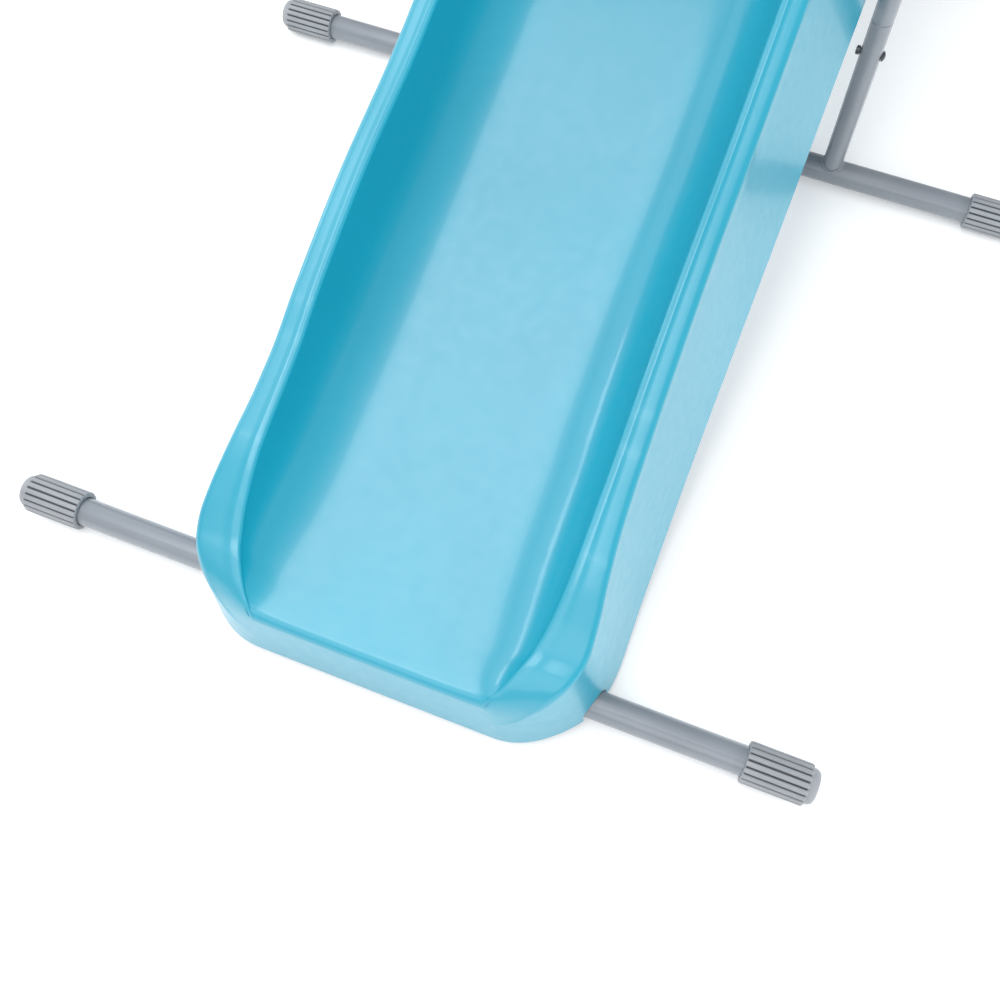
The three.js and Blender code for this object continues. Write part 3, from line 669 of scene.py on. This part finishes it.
def upright_stub(x, bar, top, lean=0.0):
    """A stub whose foot is shaped to the bar; lean is its run along Y for each metre up."""
    segments = 48
    surface = BAR_RADIUS + GAP

    def loop(radius, z=None):
        points = []
        for k in range(segments):
            angle = 2 * math.pi * k / segments
            dx, dy = radius * math.cos(angle), radius * math.sin(angle)
            foot = bar.z + math.sqrt(max(surface ** 2 - dy ** 2, 0))
            height = foot if z is None else z
            points.append(Vector((x + dx, bar.y + dy + lean * (height - bar.z), height)))
        return points

    outer, inner = TUBE_RADIUS, TUBE_RADIUS - TUBE_WALL
    start = bar.z + BAR_RADIUS
    levels = [start + (top - start) * k / 10 for k in range(1, 10)]
    loops = [loop(outer)] + [loop(outer, z) for z in levels]
    loops += [loop(outer, top - 0.4 * MM), loop(outer - 0.4 * MM, top)]
    loops += [loop(inner, top)] + [loop(inner, z) for z in reversed(levels)] + [loop(inner)]
    return loops_mesh(loops, closed=True)


def weld_bead(x, bar, lean=0.0):
    """A small rippled bead along the line where a stub meets its bar."""
    segments, sides = 96, 10
    loops = []
    for k in range(segments):
        angle = 2 * math.pi * k / segments
        dx, dy = TUBE_RADIUS * math.cos(angle), TUBE_RADIUS * math.sin(angle)
        foot = bar.z + math.sqrt(max(BAR_RADIUS ** 2 - dy ** 2, 0))
        out = Vector((math.cos(angle), math.sin(angle), 0))
        size = (1.9 + 0.25 * math.sin(angle * 26)) * MM
        middle = Vector((x + dx, bar.y + dy + lean * (foot - bar.z), foot + 0.5 * MM))
        loops.append([middle + (out * math.cos(2 * math.pi * j / sides)
                                + Vector((0, 0, 1)) * math.sin(2 * math.pi * j / sides)) * size
                      for j in range(sides)])
    return loops_mesh(loops, closed=True)


def make_leg_stub(hand, side):
    node = f"{hand}_leg_stub"
    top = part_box(node)[1].z
    parts = [upright_stub(side * LEG_X, MIDDLE_BAR, top), weld_bead(side * LEG_X, MIDDLE_BAR)]
    make_piece(node + "_tube", *join_meshes(parts), "frame_paint", node)


def make_upper_leg(hand, side):
    node = f"{hand}_upper_leg"
    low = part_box(node)[0].z
    stub_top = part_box(f"{hand}_leg_stub")[1].z
    x = side * LEG_X
    start = Vector((x, MIDDLE_BAR.y, stub_top + GAP))
    corner = Vector((x, MIDDLE_BAR.y, LEG_BEND_Z))
    pivot = Vector((x, PIVOT.y, PIVOT.z))
    end = pivot + (pivot - corner).normalized() * TUBE_PAST_PIVOT
    path = bent_path(start, corner, end, LEG_BEND_RADIUS)
    spigot = [Vector((x, MIDDLE_BAR.y, low + (stub_top + 4 * MM - low) * k / 6)) for k in range(7)]
    parts = [tube(path, TUBE_RADIUS, SPIGOT_RADIUS - TUBE_WALL),
             tube(spigot, SPIGOT_RADIUS, SPIGOT_RADIUS - TUBE_WALL - 0.2 * MM)]
    make_piece(node + "_tube", *join_meshes(parts), "frame_paint", node)


def rail_direction():
    return Vector((0, RAIL_TOP.y - REAR_BAR.y, RAIL_TOP.z - REAR_BAR.z)).normalized()


def make_ladder_stub(hand, side):
    node = f"{hand}_ladder_stub"
    direction = rail_direction()
    lean = direction.y / direction.z
    top = REAR_BAR.z + REAR_STUB_LENGTH * direction.z
    parts = [upright_stub(side * RAIL_X, REAR_BAR, top, lean),
             weld_bead(side * RAIL_X, REAR_BAR, lean)]
    make_piece(node + "_tube", *join_meshes(parts), "frame_paint", node)


def make_ladder_rail(hand, side):
    node = f"{hand}_ladder_rail"
    direction = rail_direction()
    x = side * RAIL_X
    base = Vector((x, REAR_BAR.y, REAR_BAR.z))
    corner = Vector((x, RAIL_TOP.y, RAIL_TOP.z))
    pivot = Vector((x, PIVOT.y, PIVOT.z))
    end = pivot + (pivot - corner).normalized() * TUBE_PAST_PIVOT
    start = base + direction * (REAR_STUB_LENGTH + GAP)
    path = bent_path(start, corner, end, RAIL_BEND_RADIUS)
    spigot_start = REAR_STUB_LENGTH - REAR_SPIGOT_LENGTH
    spigot_run = REAR_SPIGOT_LENGTH + SPIGOT_PAST_JOINT
    spigot = [base + direction * (spigot_start + spigot_run * k / 6) for k in range(7)]
    parts = [tube(path, TUBE_RADIUS, SPIGOT_RADIUS - TUBE_WALL),
             tube(spigot, SPIGOT_RADIUS, SPIGOT_RADIUS - TUBE_WALL - 0.2 * MM)]
    make_piece(node + "_tube", *join_meshes(parts), "frame_paint", node)


def make_hook_tube():
    node = "deck_hook_tube"
    shape = tube(cross_path(node, 16), TUBE_RADIUS, TUBE_RADIUS - TUBE_WALL)
    make_piece(node + "_tube", *shape, "frame_paint", node)


# ------------------------------------------------------------------ treads
TREAD_CORNER = 8 * MM
TREAD_RIB_PITCH = 12 * MM
TREAD_GROOVE_DEPTH = 1.2 * MM


def tread_outline(depth, thickness):
    """Rounded plank section with five grip ridges on top, as (y, z) about its centre."""
    half, rise, corner = depth / 2, thickness / 2, TREAD_CORNER
    points = arc(half - corner, -rise + corner, corner, -90, 0, 8)
    points += arc(half - corner, rise - corner, corner, 0, 90, 8)
    for rib in (2, 1, 0, -1, -2):
        centre_y = rib * TREAD_RIB_PITCH
        for k in range(9):
            t = k / 8
            dip = TREAD_GROOVE_DEPTH * (0.5 - 0.5 * math.cos(2 * math.pi * t)) ** 0.6
            points.append((centre_y + (4 - 8 * t) * MM, rise - dip))
    points += arc(-half + corner, rise - corner, corner, 90, 180, 8)
    points += arc(-half + corner, -rise + corner, corner, 180, 270, 8)
    return points


def make_tread(node):
    low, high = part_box(node)
    middle = (low + high) / 2
    outline = tread_outline(high.y - low.y, high.z - low.z)
    ease = 1.2 * MM
    stations = [(low.x, 1 - 2 * ease / (high.z - low.z)), (low.x + ease * 0.3, 0.97),
                (low.x + ease, 1)]
    stations += [(low.x + ease + (high.x - low.x - 2 * ease) * k / 20, 1) for k in range(1, 21)]
    stations += [(high.x - ease * 0.3, 0.97), (high.x, 1 - 2 * ease / (high.z - low.z))]
    loops = [[Vector((x, middle.y + y * (1 - (1 - size) * 0.3), middle.z + z * size))
              for y, z in outline] for x, size in stations]
    make_piece(node + "_plank", *loops_mesh(loops), "tread", node, 30)


# ------------------------------------------------------------------ bolts and small pieces
BOLT_HEAD_RATIO = 1.75
BOLT_DOME_RATIO = 0.62
NUT_RATIO = 1.5
PLUG_LENGTH = 7 * MM
PLUG_RADIUS = 9 * MM
SCREW_HEAD_RADIUS = 5.2 * MM
SCREW_HEAD_HEIGHT = 2.6 * MM
TREAD_BOLT_HEAD_RADIUS = 5.4 * MM
TREAD_BOLT_HEAD_HEIGHT = 3.2 * MM


def through_bolt(node, side, radius):
    """Domed head outside, plain shank, and a cap nut inside, along X."""
    low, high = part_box(node)
    middle_y, middle_z = (low.y + high.y) / 2, (low.z + high.z) / 2
    outer_x = high.x if side > 0 else -low.x
    inner_x = low.x if side > 0 else -high.x
    head = radius * BOLT_HEAD_RATIO
    dome = head * BOLT_DOME_RATIO
    seat = outer_x - dome
    nut = radius * NUT_RATIO
    profile = [(0, inner_x), (head * 0.5, inner_x + 0.1 * MM), (head * 0.86, inner_x + 0.7 * MM),
               (head * 0.86, inner_x + nut - 0.2 * MM), (radius, inner_x + nut)]
    profile += [(radius, seat - 0.2 * MM), (head * 0.96, seat), (head, seat + 0.4 * MM)]
    for a in range(10, 90, 10):
        angle = math.radians(a)
        profile.append((head * math.cos(angle), seat + 0.4 * MM
                        + (dome - 0.4 * MM) * math.sin(angle)))
    profile += [(head * 0.32, outer_x - 0.02 * MM), (head * 0.28, outer_x - 0.7 * MM),
                (0, outer_x - 0.7 * MM)]
    origin = Vector((0, middle_y, middle_z))
    shape = revolve(profile, origin, (side, 0, 0), 36)
    make_piece(node + "_set", *shape, "fastener", node, 34)


def flange_washer(node):
    """A short plastic sleeve or washer along X with eased edges."""
    low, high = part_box(node)
    middle = (low + high) / 2
    outer = (high.z - low.z) / 2
    inner = (BOLT_RADIUS if "spacer" in node else PIVOT_BOLT_RADIUS) + GAP
    start, end = low.x, high.x
    ease = 0.5 * MM
    profile = [(inner, start + ease), (inner + ease, start), (outer - ease, start),
               (outer, start + ease), (outer, end - ease), (outer - ease, end),
               (inner + ease, end), (inner, end - ease), (inner, start + ease)]
    origin = Vector((0, middle.y, middle.z))
    make_piece(node + "_ring", *revolve(profile, origin, (1, 0, 0), 40), "black_plastic", node, 34)


def end_plug(node, x, direction):
    """Push-in plug with a low domed flange and two retaining fins."""
    pivot = Vector((x, PIVOT.y, PIVOT.z))
    end = pivot + direction * TUBE_PAST_PIVOT
    flange, core = TUBE_RADIUS, PLUG_RADIUS
    profile = [(0, -PLUG_LENGTH), (core - 1.2 * MM, -PLUG_LENGTH), (core - 0.8 * MM, -6 * MM),
               (core, -5.4 * MM), (core - 0.8 * MM, -4.4 * MM), (core, -2.6 * MM),
               (core - 0.8 * MM, -1.8 * MM), (core - 0.8 * MM, GAP), (flange - 0.3 * MM, GAP)]
    profile += [(flange, GAP + 0.4 * MM), (flange - 0.1 * MM, GAP + 1.5 * MM),
                (flange * 0.9, GAP + 2.4 * MM), (flange * 0.7, GAP + 3.0 * MM),
                (flange * 0.35, GAP + 3.4 * MM), (0, GAP + 3.5 * MM)]
    make_piece(node + "_cap", *revolve(profile, end, direction, 40), "black_plastic", node, 34)


def front_saddle(node):
    """A block that sits on the round bar, with eased edges."""
    low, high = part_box(node)
    half, bar = (high.y - low.y) / 2, BAR_RADIUS + GAP
    middle_y = (low.y + high.y) / 2
    start = math.degrees(math.asin((low.z - FRONT_BAR.z) / bar))
    outline = arc(0, 0, bar, 180 - start, start, 20)
    outline += [(half, low.z - FRONT_BAR.z)]
    top, corner = high.z - FRONT_BAR.z, 2 * MM
    outline += arc(half - corner, top - corner, corner, 0, 90, 5)
    outline += arc(-half + corner, top - corner, corner, 90, 180, 5)
    outline += [(-half, low.z - FRONT_BAR.z)]
    ease = 0.8 * MM
    centre_z = (low.z + high.z) / 2 - FRONT_BAR.z
    loops = []
    for x, size in ((low.x, 0.96), (low.x + ease, 1), (high.x - ease, 1), (high.x, 0.96)):
        loops.append([Vector((x, middle_y + y * size,
                              FRONT_BAR.z + centre_z + (z - centre_z) * size))
                      for y, z in outline])
    make_piece(node + "_block", *loops_mesh(loops), "black_plastic", node, 34)


def pan_screw(node):
    """An upright screw with its pan head below."""
    low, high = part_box(node)
    middle = (low + high) / 2
    head, shank, tall = SCREW_HEAD_RADIUS, BOLT_RADIUS, SCREW_HEAD_HEIGHT
    profile = [(0, 0.8 * MM), (1.4 * MM, 0.8 * MM), (1.7 * MM, 0), (head - 1.4 * MM, 0),
               (head - 0.4 * MM, 0.5 * MM), (head, 1.2 * MM), (head, tall - 0.2 * MM),
               (head - 0.2 * MM, tall), (shank, tall)]
    rise = high.z - low.z
    threads = 14
    pitch = (rise - tall - 7 * MM) / threads
    for k in range(threads):
        z = tall + 6 * MM + pitch * k
        profile += [(shank - 0.3 * MM, z), (shank, z + pitch * 0.5)]
    profile += [(shank - 0.3 * MM, rise - 0.8 * MM), (shank - 0.9 * MM, rise), (0, rise)]
    origin = Vector((middle.x, middle.y, low.z))
    make_piece(node + "_set", *revolve(profile, origin, (0, 0, 1), 30), "fastener", node, 34)


def tread_bolt(node, side):
    """Flat-topped socket head on a plain shank along X."""
    low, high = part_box(node)
    middle = (low + high) / 2
    outer_x = high.x if side > 0 else -low.x
    inner_x = low.x if side > 0 else -high.x
    head, shank, tall = TREAD_BOLT_HEAD_RADIUS, BOLT_RADIUS, TREAD_BOLT_HEAD_HEIGHT
    profile = [(0, inner_x), (shank - 0.6 * MM, inner_x), (shank, inner_x + 0.6 * MM),
               (shank, outer_x - tall), (head - 0.3 * MM, outer_x - tall),
               (head, outer_x - tall + 0.3 * MM), (head, outer_x - 0.8 * MM),
               (head - 0.8 * MM, outer_x), (2.2 * MM, outer_x), (2.0 * MM, outer_x - 1.4 * MM),
               (0, outer_x - 1.4 * MM)]
    origin = Vector((0, middle.y, middle.z))
    make_piece(node + "_set", *revolve(profile, origin, (side, 0, 0), 36), "fastener", node, 34)


# ------------------------------------------------------------------ setting
FLOOR_HALF = 8.0
FLOOR_COLOUR = (0.86, 0.86, 0.86, 1)
FLOOR_GLOW = 0.22
WORLD_COLOUR = (0.93, 0.96, 1.0, 1)
WORLD_STRENGTH = 0.62
# Each soft box: its name, place, target, size, power in watts, and whether it shines.
SOFT_BOXES = (
    ("overhead", (-0.5, -0.75, 2.3), (-0.5, -0.749, 0), (1.25, 2.5), 37.5, True),
    ("front_box", (-0.1, -2.6, 1.5), (0, -0.5, 0.1), (2.2, 1.4), 15, True),
    ("front_strip", (0, -1.2, 2.2), (0, -0.6, 0.02), (2.8, 0.05), 3.5, True),
    ("left_box", (-2.0, 0.3, 1.2), (0, -0.1, 0.1), (3.2, 1.8), 20, True),
    ("left_strip", (-1.9, -0.1, 0.95), (0, -0.3, 0.15), (0.5, 0.3), 3, True),
    ("right_fill", (2.3, -0.5, 0.8), (0, -0.3, 0.2), (1.6, 1.0), 29, False),
)


def make_floor():
    mesh = bpy.data.meshes.new("studio_floor")
    half = FLOOR_HALF
    mesh.from_pydata([(-half, -half, 0), (half, -half, 0), (half, half, 0), (-half, half, 0)],
                     [], [(0, 1, 2, 3)])
    floor = bpy.data.objects.new("studio_floor", mesh)
    bpy.context.scene.collection.objects.link(floor)
    mat = bpy.data.materials.new("studio_white")
    mat.use_nodes = True
    shader = mat.node_tree.nodes["Principled BSDF"]
    shader.inputs["Base Color"].default_value = FLOOR_COLOUR
    shader.inputs["Roughness"].default_value = 0.9
    shader.inputs["Specular IOR Level"].default_value = 0.1
    shader.inputs["Emission Color"].default_value = (1, 1, 1, 1)
    shader.inputs["Emission Strength"].default_value = FLOOR_GLOW
    mesh.materials.append(mat)


def area_light(name, place, target, size, watts, shines):
    """A soft box; one that does not shine lights surfaces without a mirror image of itself."""
    data = bpy.data.lights.new(name, "AREA")
    data.shape = "RECTANGLE"
    data.size, data.size_y = size
    data.energy = watts
    lamp = bpy.data.objects.new(name, data)
    bpy.context.scene.collection.objects.link(lamp)
    lamp.location = place
    aim = Vector(target) - Vector(place)
    lamp.rotation_euler = aim.to_track_quat("-Z", "Y").to_euler()
    lamp.visible_glossy = shines


def make_lights():
    world = bpy.data.worlds.new("studio")
    bpy.context.scene.world = world
    world.use_nodes = True
    background = world.node_tree.nodes["Background"]
    background.inputs["Color"].default_value = WORLD_COLOUR
    background.inputs["Strength"].default_value = WORLD_STRENGTH
    for soft_box in SOFT_BOXES:
        area_light(*soft_box)


CAMERA_AZIMUTH = math.radians(21.62)
CAMERA_ELEVATION = math.radians(63.25)
CAMERA_PLACE = Vector((233, -332, 1071)) * MM
CAMERA_FOCAL = 1.200
SENSOR = 36.0


def make_camera():
    data = bpy.data.cameras.new("view")
    camera = bpy.data.objects.new("view", data)
    bpy.context.scene.collection.objects.link(camera)
    data.sensor_width = SENSOR
    data.lens = CAMERA_FOCAL * SENSOR
    camera.location = CAMERA_PLACE + Vector((0, FRONT_BAR.y, 0))
    back = Vector((math.sin(CAMERA_AZIMUTH) * math.cos(CAMERA_ELEVATION),
                   -math.cos(CAMERA_AZIMUTH) * math.cos(CAMERA_ELEVATION),
                   math.sin(CAMERA_ELEVATION)))
    camera.rotation_euler = back.to_track_quat("Z", "Y").to_euler()
    bpy.context.scene.camera = camera
    bpy.context.scene.view_settings.view_transform = "Standard"


# ------------------------------------------------------------------ assembly
make_camera()
make_lights()
make_floor()
make_chute()
make_hook_flange()
make_bars()
for end in ("front", "middle", "rear"):
    for hand, side in SIDES:
        make_foot_cap(f"{end}_{hand}_foot_cap", side)
leg_direction = (PIVOT - Vector((0, MIDDLE_BAR.y, LEG_BEND_Z))).normalized()
hand_rail_direction = (PIVOT - RAIL_TOP).normalized()
for hand, side in SIDES:
    make_leg_stub(hand, side)
    make_upper_leg(hand, side)
    make_ladder_stub(hand, side)
    make_ladder_rail(hand, side)
    for joint in ("leg_joint", "ladder_joint", "chute"):
        through_bolt(f"{hand}_{joint}_bolt", side, BOLT_RADIUS)
    through_bolt(f"{hand}_pivot_bolt", side, PIVOT_BOLT_RADIUS)
    flange_washer(f"{hand}_chute_spacer")
    flange_washer(f"{hand}_pivot_washer")
    end_plug(f"{hand}_leg_end_plug", side * LEG_X, leg_direction)
    end_plug(f"{hand}_rail_end_plug", side * RAIL_X, hand_rail_direction)
    front_saddle(f"{hand}_front_saddle")
    pan_screw(f"{hand}_saddle_screw")
    tread_bolt(f"{hand}_upper_tread_bolt", side)
    tread_bolt(f"{hand}_lower_tread_bolt", side)
make_hook_tube()
make_tread("lower_tread")
make_tread("upper_tread")
